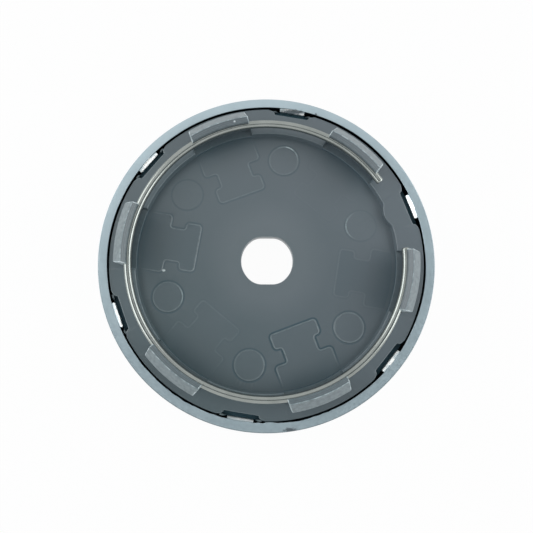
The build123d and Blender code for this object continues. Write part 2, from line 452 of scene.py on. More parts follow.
print(f"floor mask: fades out {FLOOR_MASK[0]} to {FLOOR_MASK[1]} mm below the flange")

# %% Grey plastic
TEAL_GREY, PLAIN_GREY = (0.040, 0.074, 0.086), (0.078, 0.106, 0.126)
# painted shading: lighter and greyer towards this direction, darker and more teal away from it
LIGHTER_TOWARDS = (0.85, 0.53, 0.0)
SIDE_SHADING_REACH, SIDE_SHADING_SHARE, CLOUD_SHARE = 26.0, 0.7, 0.3
FOOT_START, FOOT_END, FOOT_SHADE = 21.2, 24.6, 0.11  # painted shade: the floor is darker at its foot behind the clips, where they shade it
HUB_LIGHT_START, HUB_LIGHT_END, HUB_LIGHT_SHARE = 7.5, 12.5, 0.1  # painted light: paler round the hub hole, where the floor is most open to light
HUB_LIGHT_PAINT = (0.3, 0.33, 0.35)
EDGE_HIGHLIGHT_PAINT, BRIGHT_PAINT = (0.335, 0.43, 0.455), (0.72, 0.8, 0.82)
BRIGHT_FROM, BRIGHT_SHARE = 0.7, 0.7  # strong painted highlights turn nearly white
SHADE_PAINT, BLACK_PAINT = (0.033, 0.076, 0.098), (0.008, 0.014, 0.018)
BLACK_FROM = 0.5  # shade is dark teal up to here and goes on to black
PALE_SPOT_PAINT = (0.62, 0.7, 0.71)
# small pale spots: one on the floor, one on a clip and three beside notches
PALE_SPOTS = (
    (20.2, 185.7, -1.27, 0.32, 0.32),
    (26.65, 103.7, 5.0, 0.26, 0.26),
    (29.9, 139.0, 0.0, 0.3, 0.3),
    (29.8, 199.0, 0.0, 0.3, 0.3),
    (29.9, 261.5, 0.0, 0.34, 0.34),
)
PLASTIC_SATIN = (0.42, 0.52)  # roughness
PLASTIC_RELIEF = 0.000008


def grey_plastic():
    """Moulded grey plastic: two close tones in clouds, painted shading and light, painted edge highlights
    and shade, satin.
    """
    made, tree, shader = finish("moulded_grey", Specular_IOR_Level=0.2, Coat_IOR=1.8, Coat_Roughness=0.47)
    clouds = effect(tree, "grain", Cloud_Scale=75.0, Fine_Scale=2600.0)
    place = node(tree, "ShaderNodeTexCoord").outputs["Object"]
    # painted shading across the cap, mixed with clouds of the plastic's own tone
    along = vector_node(tree, "DOT_PRODUCT", place, LIGHTER_TOWARDS)["Value"]
    side_shading = remap(tree, along, -SIDE_SHADING_REACH * MM, SIDE_SHADING_REACH * MM, 0.0, SIDE_SHADING_SHARE)
    share = math_node(tree, "ADD", side_shading, math_node(tree, "MULTIPLY", clouds["Cloud"], CLOUD_SHARE))
    colour = blend_colour(tree, share, TEAL_GREY, PLAIN_GREY)

    radius, behind_clips = floor_places(tree)
    # painted light round the hub hole
    hub_light = remap(tree, radius, HUB_LIGHT_START * MM, HUB_LIGHT_END * MM, HUB_LIGHT_SHARE, 0.0)
    colour = blend_colour(tree, hub_light, colour, HUB_LIGHT_PAINT)

    # painted highlights along edges, and painted shade where the edge value is below 0
    edges = effect(tree, "scuffed_edges", Breakup=1400.0, Strength=0.6)
    bright = remap(tree, edges["Mask"], BRIGHT_FROM, 1.0, 0.0, BRIGHT_SHARE)
    colour = blend_colour(tree, edges["Mask"], colour, EDGE_HIGHLIGHT_PAINT)
    colour = blend_colour(tree, bright, colour, BRIGHT_PAINT)

    # painted shade at the foot of the dish behind the clips
    foot = remap(tree, radius, FOOT_START * MM, FOOT_END * MM, 0.0, FOOT_SHADE)
    shade = math_node(tree, "ADD", edges["Shade"], math_node(tree, "MULTIPLY", foot, behind_clips))
    colour = blend_colour(tree, remap(tree, shade, 0.0, BLACK_FROM), colour, SHADE_PAINT)
    colour = blend_colour(tree, remap(tree, shade, BLACK_FROM, 1.0), colour, BLACK_PAINT)
    colour = spotted(tree, colour, PALE_SPOT_PAINT, flange_z, PALE_SPOTS)

    coat = remap(tree, shade, 0.0, BLACK_FROM, 1.0, 0.0)
    rough = remap(tree, clouds["Cloud"], 0.0, 1.0, *PLASTIC_SATIN)
    normal = bump(tree, clouds["Height"], PLASTIC_RELIEF)
    feed(tree, shader, Base_Color=colour, Coat_Weight=coat, Roughness=rough, Normal=normal)
    return made


FINISHES = {"body": grey_plastic()}
print("finishes:", ", ".join(FINISHES))

# %% [markdown]
# ### Silver plating and spring steel
# The ring is plastic with a satin silver plating, which mottles finely and has a few marks of handling.
# Its hooks carry a painted highlight, and the slot, the rim and one hook carry painted shade.
# The wire is bright drawn steel. Both are metals, so their colour is the colour of their reflections.

# %% Silver plating
SILVER_DARK, SILVER_LIGHT = (0.402, 0.499, 0.545), (0.488, 0.593, 0.637)
HOOK_HIGHLIGHT_PAINT = (0.94, 0.96, 0.95)  # painted highlight of the hooks
# painted shade, near black, on the wall of the slot
SLOT_SHADE_PAINT = (0.012, 0.016, 0.02)
SMUDGE_AND_SHADE_PAINT = (0.16, 0.19, 0.21)
DARK_SMUDGES_AND_HOOK_SHADE = (
    (30.9, 71.6, 0.0, 0.3, 0.3),
    # painted shade: the hook at 80.5 degrees is painted darker, as it faces away from the light
    (30.45, 80.5, -0.5, 0.6, 3.2),
    (32.2, 277.6, -0.1, 0.5, 1.5),
)
SILVER_SATIN = (0.36, 0.48)
BAR_POLISH = 0.1  # taken off the roughness where the hooks carry their painted highlight
SILVER_RELIEF = 0.000006


def silver_plating():
    """Satin silver plating with a fine mottle, a few marks of handling, painted highlights on the hooks and
    painted shade in the slot, on the rim and on one hook.
    """
    made, tree, shader = finish("satin_silver", Metallic=1.0)
    clouds = effect(tree, "grain", Cloud_Scale=160.0, Fine_Scale=2100.0)
    share = math_node(tree, "MULTIPLY", math_node(tree, "ADD", clouds["Cloud"], clouds["Height"]), 0.5)
    colour = blend_colour(tree, share, SILVER_DARK, SILVER_LIGHT)
    edges = effect(tree, "scuffed_edges", Breakup=900.0, Strength=1.5)
    colour = blend_colour(tree, edges["Mask"], colour, HOOK_HIGHLIGHT_PAINT)
    colour = blend_colour(tree, edges["Shade"], colour, SLOT_SHADE_PAINT)
    colour = spotted(tree, colour, SMUDGE_AND_SHADE_PAINT, ring_rear_z, DARK_SMUDGES_AND_HOOK_SHADE)
    satin = remap(tree, clouds["Height"], *NOISE_SPAN, *SILVER_SATIN)
    rough = math_node(tree, "SUBTRACT", satin, math_node(tree, "MULTIPLY", edges["Mask"], BAR_POLISH))
    normal = bump(tree, clouds["Height"], SILVER_RELIEF)
    feed(tree, shader, Base_Color=colour, Roughness=rough, Normal=normal)
    return made


FINISHES["ring"] = silver_plating()
print("finishes:", ", ".join(FINISHES))

# %% Spring steel
STEEL_DARK, STEEL_LIGHT = (0.26, 0.285, 0.272), (0.327, 0.353, 0.338)
STEEL_SATIN = (0.14, 0.26)


def spring_steel():
    """Bright drawn wire, a cool grey with a fine mottle."""
    made, tree, shader = finish("drawn_steel", Metallic=1.0)
    clouds = effect(tree, "grain", Cloud_Scale=300.0, Fine_Scale=4000.0)
    colour = blend_colour(tree, clouds["Cloud"], STEEL_DARK, STEEL_LIGHT)
    rough = remap(tree, clouds["Height"], *NOISE_SPAN, *STEEL_SATIN)
    feed(tree, shader, Base_Color=colour, Roughness=rough)
    return made


FINISHES["wire"] = spring_steel()
print("finishes:", ", ".join(FINISHES))

# %% [markdown]
# ## Drawing outlines
# A moulded part has no sharp edges, so the drawing tools come before the pieces: one turns corners into
# small arcs, one moves a closed outline inward or outward, and one collects loops of points and joins them
# with faces. Each point also carries an edge value. Above 0 it marks edges with a painted highlight, and
# below 0 it marks painted shade, down to -1 in a slot that gives no light back.

# %% Outline helpers
MITRE_LIMIT = 0.4  # keeps a sharp corner from running far out when its outline is moved


def rounded(corners, steps=4):
    """A closed outline from corners (x, y, radius), each turned into an arc of that radius."""
    points = []
    for i, (x, y, radius) in enumerate(corners):
        here = np.array((x, y))
        if radius == 0:
            points.append(here)
            continue
        back = np.array(corners[i - 1][:2]) - here
        ahead = np.array(corners[(i + 1) % len(corners)][:2]) - here
        back = back / np.linalg.norm(back)
        ahead = ahead / np.linalg.norm(ahead)
        half = acos(np.clip(back @ ahead, -1, 1)) / 2
        centre = here + (back + ahead) / np.linalg.norm(back + ahead) * radius / sin(half)
        first = here + back * radius / tan(half) - centre
        last = here + ahead * radius / tan(half) - centre
        turn = atan2(first[0] * last[1] - first[1] * last[0], first @ last)
        for k in range(steps + 1):
            a = atan2(first[1], first[0]) + turn * k / steps
            points.append(centre + radius * np.array((cos(a), sin(a))))
    return np.array(points)


def shifted(outline, distance):
    """A closed counter-clockwise outline moved outward by a distance, or inward by a negative one."""
    ahead = np.roll(outline, -1, axis=0) - outline
    normal = np.stack((ahead[:, 1], -ahead[:, 0]), axis=1)
    normal /= np.linalg.norm(normal, axis=1)[:, None]
    before = np.roll(normal, 1, axis=0)
    mitre = 1 + np.sum(normal * before, axis=1)
    return outline + distance * (normal + before) / np.maximum(mitre, MITRE_LIMIT)[:, None]


def arc(radius, start, end, count):
    """Points on a circle round the origin, from one angle to another in degrees."""
    angles = np.radians(np.linspace(start, end, count))
    return np.stack((radius * np.cos(angles), radius * np.sin(angles)), axis=1)


def turned(points, angle):
    """Points turned about the axis by an angle in degrees."""
    c, s = cos(radians(angle)), sin(radians(angle))
    return points @ np.array(((c, s), (-s, c)))


def inside(point, outline):
    """True where a point lies within a closed outline."""
    x, y = outline[:, 0], outline[:, 1]
    x2, y2 = np.roll(x, -1), np.roll(y, -1)
    crossing = (y > point[1]) != (y2 > point[1])
    reach = x + (point[1] - y) / np.where(y2 == y, 1, y2 - y) * (x2 - x)
    return np.count_nonzero(crossing & (point[0] < reach)) % 2 == 1


print("outline helpers: rounded, shifted, arc, turned, inside")

# %% Loops joined into a shell
WHOLE_INSIDE = 1  # the kind of filling that covers all within the outer border
CLOSE = 1e-7  # points nearer than this are one
SLIVER = 1e-8  # edges shorter than this are dissolved


class Draft:
    """Loops of points in millimetres, joined by faces into a closed shell."""

    def __init__(self):
        self.points = []
        self.edges = []
        self.faces = []

    def loop(self, outline, height=None, edge=0.0):
        """Adds an outline, flat at a height or with its own heights, and returns its indices."""
        outline = np.asarray(outline, float)
        if height is not None:
            outline = np.column_stack((outline, np.broadcast_to(height, len(outline))))
        start = len(self.points)
        self.points.extend(outline)
        self.edges.extend(np.broadcast_to(edge, len(outline)))
        return list(range(start, start + len(outline)))

    def skin(self, loops):
        """Joins each loop with the next by a band of faces."""
        for first, second in zip(loops, loops[1:]):
            for i, j in zip(range(len(first)), [*range(1, len(first)), 0]):
                self.faces.append((first[i], first[j], second[j], second[i]))

    def cap(self, loop):
        """Closes a loop by one face."""
        self.faces.append(tuple(loop))

    def fill(self, outer, holes):
        """Fills the flat region between an outer loop and the loops inside it."""
        loops = [outer, *holes]
        ids = [i for loop in loops for i in loop]
        flat = [Vector(self.points[i][:2]) for i in ids]
        borders = []
        for loop in loops:
            start = len(borders)
            borders += [(start + k, start + (k + 1) % len(loop)) for k in range(len(loop))]
        corners, _, faces, origins, _, _ = geometry.delaunay_2d_cdt(flat, borders, [], WHOLE_INSIDE, CLOSE)
        source = [ids[origin[0]] for origin in origins]
        outlines = [np.array([self.points[i][:2] for i in loop]) for loop in holes]
        for face in faces:
            middle = sum((corners[k] for k in face), Vector((0, 0))) / len(face)
            if not any(inside(middle, outline) for outline in outlines):
                self.faces.append(tuple(source[k] for k in face))

    def piece(self, name):
        """Makes the object, in metres, with doubles merged and normals outward."""
        mesh = bpy.data.meshes.new(name)
        mesh.from_pydata(np.array(self.points) * MM, [], self.faces)
        edge_values = mesh.attributes.new("edge", "FLOAT", "POINT")
        edge_values.data.foreach_set("value", np.array(self.edges, np.float32))
        bm = bmesh.new()
        bm.from_mesh(mesh)
        bmesh.ops.remove_doubles(bm, verts=bm.verts, dist=CLOSE)
        bmesh.ops.dissolve_degenerate(bm, edges=bm.edges, dist=SLIVER)
        bmesh.ops.recalc_face_normals(bm, faces=bm.faces)
        loose = sum(1 for edge in bm.edges if not edge.is_manifold)
        bm.to_mesh(mesh)
        bm.free()
        made = bpy.data.objects.new(name, mesh)
        scene.collection.objects.link(made)
        print(f"{name}: {len(mesh.polygons)} faces, {loose} open edges")
        return made


print("drawing tool: Draft, with loops, skins, caps and fills")

# %% [markdown]
# ## Body: the dished plate and its flange
# On the real cap this is one moulding. Round the axis its section changes only in two ways: the outer edge
# of the flange dips into six notches, and its inner edge steps back into six pockets behind the clips. So
# two outlines are drawn, an inner one and an outer one with matching points, and loops at rising heights
# between them are joined, with small arcs along every top edge.

# %% Sizes of the body
CLIP_WALL = 1.22  # of a clip at its neck
RIM_STEP = 1.25  # from the inner face of the clips in to the dish
DISH_DRAFT = 0.15  # the dish wall leans out by this much
FACE_RADIUS = 27.8  # of the front disc
DISH_DEPTH, NOTCH_DEPTH, POCKET_DEPTH, FLANGE_THICKNESS = 1.3, 1.3, 0.9, 2.8
EDGE_ROUND, HUB_ROUND, FACE_ROUND = 0.2, 0.15, 0.3

CLIP_INNER = neck_radius - CLIP_WALL
DISH_RADIUS = CLIP_INNER - RIM_STEP
FLOOR_RADIUS = DISH_RADIUS - DISH_DRAFT
FLOOR_Z = flange_z - DISH_DEPTH
LEDGE_Z = flange_z - NOTCH_DEPTH
POCKET_Z = flange_z - POCKET_DEPTH
FLANGE_FRONT_Z = flange_z - FLANGE_THICKNESS
print(f"dish {DISH_RADIUS:.2f} mm, floor at {FLOOR_Z:.2f} mm, front disc {FACE_RADIUS:.2f} mm")

# %% Outline of a notch
HOOK_ZONE = 12.5  # half of the angle that belongs to a notch
NOTCH_FLOOR = (29.3, 3.3)  # half of the notch, in the direction of its hook
NOTCH_SHOULDER = (29.85, 3.5)
NOTCH_MOUTH = (30.13, 4.72)
SHOULDER_ROUND, CORNER_ROUND = 0.8, 0.15
NOTCH_FLAT, NOTCH_STEPS = 2.6, 6  # half of the floor that gets points of its own
ZONE_STEPS = 5  # points from a notch or a pocket to the end of its zone


def notch_outline():
    """Outer edge over one hook zone, hook direction along X."""
    mouth = degrees(atan2(NOTCH_MOUTH[1], NOTCH_MOUTH[0]))
    corners = [(*NOTCH_MOUTH, 0), (*NOTCH_SHOULDER, SHOULDER_ROUND), (*NOTCH_FLOOR, CORNER_ROUND)]
    mirrored = [(x, -y, r) for x, y, r in reversed(corners)]
    dip = rounded([*mirrored, *corners], 5)
    floor = [(NOTCH_FLOOR[0], y) for y in np.linspace(-NOTCH_FLAT, NOTCH_FLAT, NOTCH_STEPS)]
    half = len(dip) // 2
    dip = np.array([*dip[:half], *floor, *dip[half:]])
    dip = dip[np.argsort(np.arctan2(dip[:, 1], dip[:, 0]), kind="stable")]
    before = arc(flange_radius, -HOOK_ZONE, -mouth, ZONE_STEPS)[:-1]
    after = arc(flange_radius, mouth, HOOK_ZONE, ZONE_STEPS)[1:-1]
    return np.array([*before, *dip, *after])


print(f"notch: {len(notch_outline())} points")

# %% Outline of a pocket
CLIP_ZONE = PITCH / 2 - HOOK_ZONE
POCKET_HALF = 5.95
POCKET_RADIUS = CLIP_INNER + 0.08  # a little behind the inner face of the clips
POCKET_SHARES = (0, 0.1, 0.35, 0.65, 0.9)  # points along its sides, close together at the ends
POCKET_STEPS = 40


def pocket_outline():
    """Inner edge over one clip zone, clip direction along X."""
    near = sqrt(DISH_RADIUS**2 - POCKET_HALF**2)
    far = sqrt(POCKET_RADIUS**2 - POCKET_HALF**2)
    start = degrees(atan2(POCKET_HALF, near))
    back = degrees(atan2(POCKET_HALF, far))
    side = [(near + (far - near) * share, -POCKET_HALF) for share in POCKET_SHARES]
    other_side = [(x, -y) for x, y in reversed(side)]
    before = arc(DISH_RADIUS, -CLIP_ZONE, -start, ZONE_STEPS)[:-1]
    wall = arc(POCKET_RADIUS, -back, back, POCKET_STEPS)
    after = arc(DISH_RADIUS, start, CLIP_ZONE, ZONE_STEPS)[1:-1]
    return np.array([*before, *side, *wall, *other_side, *after])


print(f"pocket: {len(pocket_outline())} points")

# %% Inner and outer outline
BOSS_RADIUS = 3.55
BOSS_REACH = 0.8  # inward from the dish wall, at the first hook
BOSS_CENTRE = DISH_RADIUS - BOSS_REACH + BOSS_RADIUS


def on_circle(points, radius):
    """The points moved along their own directions to a circle."""
    return points / np.linalg.norm(points, axis=1)[:, None] * radius


def behind_boss(points):
    """The points pulled in to the round boss that stands on the dish wall."""
    angle = np.arctan2(points[:, 1], points[:, 0]) - radians(HOOK_ANGLE)
    across = BOSS_CENTRE * np.sin(angle)
    meets = (np.abs(across) < BOSS_RADIUS) & (np.cos(angle) > 0)
    depth = np.sqrt(np.where(meets, BOSS_RADIUS**2 - across**2, 0))
    radius = np.linalg.norm(points, axis=1)
    boss = np.where(meets, BOSS_CENTRE * np.cos(angle) - depth, radius)
    return points * (np.minimum(radius, boss) / radius)[:, None]


inner, outer = [], []
for station in range(STATIONS):
    turn = HOOK_ANGLE + station * PITCH
    notch = turned(notch_outline(), turn)
    pocket = turned(pocket_outline(), turn + PITCH / 2)
    outer += [*notch, *on_circle(pocket, flange_radius)]
    inner += [*on_circle(notch, DISH_RADIUS), *pocket]
outer = np.array(outer)
inner = behind_boss(np.array(inner))
print(f"outlines: {len(inner)} points each")

# %% [markdown]
# ## Ledges, lips and edges
# In each notch the flange steps down to a ledge that a hook lies over, with painted shade on it. Where the
# slot is open beside four of the hooks, a thin lip stands on the outer rim of the ledge and carries a
# painted highlight, a pale fleck. The top edges are rounded by a few loops each, with painted highlights
# that are strongest at the shoulders of the notches.

# %% Places that differ round the flange
POCKET_MARGIN = 0.4  # past the dish wall, where a point belongs to a pocket
SHOULDER_NEAR = 0.25
LEDGE_LIP_WIDTH = 0.28
LEDGE_LIP_RISE = (0.0, 0.6, 1.0, 1.0, 1.0, 0.0)  # at each hook
HOOK_CLEAR = 5.6  # half of the angle that a hook takes

in_pocket = np.linalg.norm(inner, axis=1) > DISH_RADIUS + POCKET_MARGIN
outer_radius = np.linalg.norm(outer, axis=1)
at_shoulder = np.abs(outer_radius - np.linalg.norm(NOTCH_SHOULDER)) < SHOULDER_NEAR
lip_inner = flange_radius - LEDGE_LIP_WIDTH
lip_foot = outer * (np.maximum(outer_radius, lip_inner) / outer_radius)[:, None]
from_hook = np.degrees(np.arctan2(outer[:, 1], outer[:, 0])) - HOOK_ANGLE
nearest_hook = np.round(from_hook / PITCH).astype(int)
beside_hook = (np.abs(from_hook - PITCH * nearest_hook) > HOOK_CLEAR) & (outer_radius < lip_inner)
lip_rise = np.array(LEDGE_LIP_RISE)[nearest_hook % STATIONS] * beside_hook
print(f"{np.count_nonzero(in_pocket)} points in pockets, {np.count_nonzero(lip_rise)} on lips")

# %% Loops of the body
QUARTER = [radians(a) for a in (0, 22.5, 45, 67.5, 90)]
ROUND_MIDDLE = 0.3  # of a radius, from both faces to the middle of a coarse rounding
# painted highlights along the rounded edges, and painted shade in the pockets and on the ledges
INNER_HIGHLIGHT, OUTER_HIGHLIGHT, SHOULDER_HIGHLIGHT, FACE_HIGHLIGHT = 0.3, 0.36, 0.6, 0.3
POCKET_HIGHLIGHT, POCKET_SHADE, LEDGE_SHADE = 0.2, 0.22, 0.5
LIP_HIGHLIGHT = 1.3  # for each millimetre that a lip rises


def top_edge(draft, outline, away, height, radius, edge):
    """Loops round a top edge, from its wall over onto its top; away is -1 where the top lies outside."""
    loops = []
    for a in QUARTER:
        inward = radius * (1 - cos(a)) * away
        lift = radius * (sin(a) - 1)
        loops.append(draft.loop(shifted(outline, -inward), height + lift, edge * sin(2 * a)))
    return loops


shell = Draft()
rim = on_circle(outer, flange_radius)
face_middle = ROUND_MIDDLE * FACE_ROUND
lip_light_and_shade = -LEDGE_SHADE + LIP_HIGHLIGHT * lip_rise
outer_highlight = OUTER_HIGHLIGHT + SHOULDER_HIGHLIGHT * at_shoulder
body_rows = [
    shell.loop(behind_boss(on_circle(inner, FLOOR_RADIUS)), FLOOR_Z, -POCKET_SHADE * in_pocket),
    shell.loop(behind_boss(on_circle(inner, DISH_RADIUS)), POCKET_Z, POCKET_HIGHLIGHT * in_pocket),
    shell.loop(inner, POCKET_Z, POCKET_HIGHLIGHT * in_pocket),
    *top_edge(shell, inner, -1, flange_z, EDGE_ROUND, INNER_HIGHLIGHT),
    *reversed(top_edge(shell, outer, 1, flange_z, EDGE_ROUND, outer_highlight)),
    shell.loop(outer, LEDGE_Z, -LEDGE_SHADE),
    shell.loop(lip_foot, LEDGE_Z, -LEDGE_SHADE),
    shell.loop(lip_foot, LEDGE_Z + lip_rise, lip_light_and_shade),
    shell.loop(rim, LEDGE_Z + lip_rise, lip_light_and_shade),
    shell.loop(rim, FLANGE_FRONT_Z + EDGE_ROUND),
    shell.loop(on_circle(outer, flange_radius - EDGE_ROUND), FLANGE_FRONT_Z),
    shell.loop(on_circle(outer, FACE_RADIUS), FLANGE_FRONT_Z),
    shell.loop(on_circle(outer, FACE_RADIUS), face_z + FACE_ROUND),
    shell.loop(on_circle(outer, FACE_RADIUS - face_middle), face_z + face_middle, FACE_HIGHLIGHT),
    shell.loop(on_circle(outer, FACE_RADIUS - FACE_ROUND), face_z),
]
shell.skin(body_rows)
print(f"body: {len(body_rows)} loops, {len(shell.faces)} faces so far")

# %% [markdown]
# ## Marks in the floor of the dish
# Mould inserts leave their outlines: a T-shaped mark behind each clip and a round one behind each hook.
# Where two mould parts meet, a hair of plastic creeps in, so each mark is a thin raised ridge with a fine
# groove outside it. The ridge carries a painted highlight, strongest on the side that faces the light, and
# the groove carries painted shade. A flat texture would do from afar, but a real ridge catches the light
# from every side.

# %% Outlines of the marks
MARK_NECK = 6.35
MARK_ROUND = 0.62
MARK_STEPS = ((13.87, 1.45), (16.72, 1.45), (16.72, 0), (19.92, 0), (19.92, 2.5))  # radius, beyond the neck
MARK_END = 24.65
PIN_CIRCLE = 20.5
PIN_RADIUS = 2.85
BOSS_PIN_INSET = 0.8  # the mark beside the boss lies further in


def mark_outline():
    """The T of one clip, clip direction along X, counter-clockwise."""
    half = [(x, MARK_NECK / 2 + step, MARK_ROUND) for x, step in MARK_STEPS]
    width = half[-1][1]
    corner = degrees(atan2(width, sqrt(MARK_END**2 - width**2)))
    end = [(*p, 0) for p in arc(MARK_END, -corner, corner, 12)]
    return rounded([*[(x, -y, r) for x, y, r in half], *end, *reversed(half)], 5)


def pin_outline(station):
    """The round mark of one hook, hook direction along X."""
    inset = BOSS_PIN_INSET if station == 0 else 0.0
    return arc(PIN_RADIUS, 0, 360, 73)[:-1] + (PIN_CIRCLE - inset, 0)


print(f"T mark: {len(mark_outline())} points, round mark: {len(pin_outline(0))} points")

# %% A ridge and its groove
RIDGE_HALF, RIDGE_FOOT = 0.09, 0.17  # half widths of its crest and its foot
RIDGE_RISE = 0.12  # of a ridge with a full painted highlight
GROOVE_WIDTH, GROOVE_FADE, GROOVE_DEPTH, GROOVE_SHADE = 0.22, 0.14, 0.05, 0.3
OPEN_MARGIN = 0.2  # the end at the dish wall has neither ridge nor groove
LIT_SIDE_FOCUS = 3  # how closely the painted highlight keeps to its lit side


def mark(draft, outline, light_and_shade):
    """A ridge along an outline with a painted highlight, a groove outside it with painted shade and a tone
    inside; returns the outer loop.
    """
    pale, side_highlight, lit_side, groove, tone = light_and_shade
    open_side = np.linalg.norm(outline, axis=1) < MARK_END - OPEN_MARGIN
    facing = shifted(outline, 1) - outline
    facing = np.cos(np.arctan2(facing[:, 1], facing[:, 0]) - radians(lit_side))
    edge = (pale + side_highlight * np.maximum(facing, 0) ** LIT_SIDE_FOCUS) * open_side
    groove = groove * open_side
    groove_z = FLOOR_Z - GROOVE_DEPTH * groove
    ridge_z = FLOOR_Z + RIDGE_RISE * edge
    groove_end = RIDGE_FOOT + GROOVE_WIDTH
    rows = [
        draft.loop(shifted(outline, groove_end + GROOVE_FADE), FLOOR_Z),
        draft.loop(shifted(outline, groove_end), groove_z, -GROOVE_SHADE * groove),
        draft.loop(shifted(outline, RIDGE_FOOT), groove_z, -GROOVE_SHADE * groove),
        draft.loop(shifted(outline, RIDGE_HALF), ridge_z, edge),
        draft.loop(shifted(outline, -RIDGE_HALF), ridge_z, edge),
        draft.loop(shifted(outline, -RIDGE_FOOT), FLOOR_Z, tone),
    ]
    draft.skin(rows)
    draft.cap(rows[-1])
    return rows[0]


print(f"ridge up to {RIDGE_RISE} mm high, groove up to {GROOVE_DEPTH} mm deep")

# %% Marks of the six stations
# Each row is painted highlight all round, more painted highlight on the lit side, the angle of that side,
# painted groove shade, tone inside.
MARK_LIGHT_AND_SHADE = (
    (0.03, 0.0, 0, 0.03, 0.0),
    (0.2, 0.08, 10, 0.35, 0.0),
    (0.3, 0.3, 40, 0.42, -0.05),
    (0.1, 0.05, 120, 0.1, 0.0),
    (0.48, 0.1, 180, 1.0, 0.0),
    (0.07, 0.05, 190, 0.1, -0.06),
)
PIN_LIGHT_AND_SHADE = (
    (0.02, 0.95, 180, 0.15, 0.03),
    (0.2, 1.4, 60, 0.35, 0.03),
    (0.03, 0.0, 0, 0.3, 0.03),
    (0.25, 0.8, 0, 0.6, 0.03),
    (0.22, 0.25, 0, 0.65, 0.03),
    (0.36, 0.08, 120, 0.55, 0.03),
)
mark_loops = []
for station in range(STATIONS):
    turn = PITCH * station
    mark_loops.append(mark(shell, turned(mark_outline(), CLIP_ANGLE + turn), MARK_LIGHT_AND_SHADE[station]))
    mark_loops.append(mark(shell, turned(pin_outline(station), HOOK_ANGLE + turn), PIN_LIGHT_AND_SHADE[station]))
print(f"marks: {len(mark_loops)}")

# %% [markdown]
# ## Hub hole
# The hole in the middle is round with two flats, and soft corners between them. Its two edges are rounded
# a little. The floor and the front disc are then filled between the loops that are already there.

# %% Hub hole, and the body closed
HUB_RADIUS = 5.1
HUB_FLAT = 4.7
HUB_CORNER = 3.5


def hub_outline():
    """The hole in the middle, round with two flats and soft corners between."""
    rise = HUB_FLAT - HUB_CORNER
    run = sqrt((HUB_RADIUS - HUB_CORNER) ** 2 - rise**2)
    meets = degrees(atan2(rise, run))
    upper = arc(HUB_CORNER, meets, 90, 12)[1:] + (run, rise)
    right = np.array([*(upper[::-1] * (1, -1)), *arc(HUB_RADIUS, -meets, meets, 40), *upper])
    return np.array([*right, *-right])


hub = hub_outline()
hub_middle = ROUND_MIDDLE * HUB_ROUND
hub_rows = [
    shell.loop(shifted(hub, HUB_ROUND), FLOOR_Z),
    shell.loop(shifted(hub, hub_middle), FLOOR_Z - hub_middle, FACE_HIGHLIGHT),
    shell.loop(hub, FLOOR_Z - HUB_ROUND),
    shell.loop(hub, face_z + HUB_ROUND),
    shell.loop(shifted(hub, hub_middle), face_z + hub_middle, FACE_HIGHLIGHT),
    shell.loop(shifted(hub, HUB_ROUND), face_z),
]
shell.skin(hub_rows)
shell.fill(body_rows[0], [hub_rows[0], *mark_loops])
shell.fill(body_rows[-1], [hub_rows[-1]])
body_shell = shell.piece("body_shell")

# %% [markdown]
# ## Clips
# A clip is a short stretch of a turned section: a neck that passes the bore of the wheel, a barb that snaps
# behind it, a sloping lead-in, and on the inside a groove for the wire under a small lip. Two fine lines
# are drawn along the inner slope. The two ends of a clip are parallel, so the section is drawn once and
# repeated at steps across the clip, each at its own place on the arc.

# %% Section of a clip
CLIP_ROOT = 1.5  # below the flange
CLIP_ROUND = 0.16
NECK_HEIGHT, BARB_LOW, BARB_HIGH = 2.5, 3.2, 3.5  # above the flange
NECK_ROUND = 0.3
BARB_RADIUS = neck_radius + 0.88
TOP_RADIUS = neck_radius - 0.8
TOP_WIDTH, TOP_ROUND = 0.15, 0.05
CLIP_LIP_RADIUS = CLIP_INNER - 0.48
CLIP_LIP_RISE = 1.6  # above the middle of the wire
WIRE_PLAY = 0.05
WIRE_GROOVE = wire_diameter / 2 + WIRE_PLAY
DRAWN_LINES = (0.36, 0.66)  # places on the inner slope
DRAWN_HALF = 0.08


def slope_point(share):
    """A point on the inner slope of a clip, from its top (0) to its lip (1)."""
    top = np.array((TOP_RADIUS - TOP_WIDTH, clip_top_z))
    return top + share * (np.array((CLIP_LIP_RADIUS, wire_z + CLIP_LIP_RISE)) - top)


def clip_section():
    """The section in radius and height, counter-clockwise."""
    dip = sqrt(WIRE_GROOVE**2 - (CLIP_INNER - wire_radius) ** 2)
    brow = sqrt(WIRE_GROOVE**2 - (CLIP_LIP_RADIUS - wire_radius) ** 2)
    low = degrees(atan2(-dip, CLIP_INNER - wire_radius))
    high = degrees(atan2(brow, CLIP_LIP_RADIUS - wire_radius))
    groove = arc(WIRE_GROOVE, high, low, 14) + (wire_radius, wire_z)
    lines = [share + step for share in DRAWN_LINES for step in (-DRAWN_HALF, 0, DRAWN_HALF)]
    corners = [
        (CLIP_INNER, flange_z - CLIP_ROOT, 0),
        (neck_radius, flange_z - CLIP_ROOT, 0),
        (neck_radius, flange_z + NECK_HEIGHT, NECK_ROUND),
        (BARB_RADIUS, flange_z + BARB_LOW, CLIP_ROUND),
        (BARB_RADIUS, flange_z + BARB_HIGH, CLIP_ROUND),
        (TOP_RADIUS, clip_top_z, TOP_ROUND),
        (TOP_RADIUS - TOP_WIDTH, clip_top_z, TOP_ROUND),
        *[(*slope_point(place), 0) for place in lines],
        (*slope_point(1), CLIP_ROUND),
        *[(x, y, 0) for x, y in groove],
    ]
    return rounded(corners)


section = clip_section()
print(f"clip section: {len(section)} points, {BARB_RADIUS:.2f} mm out at the barb")

# %% Painted highlights of a clip
NEAR = 0.01
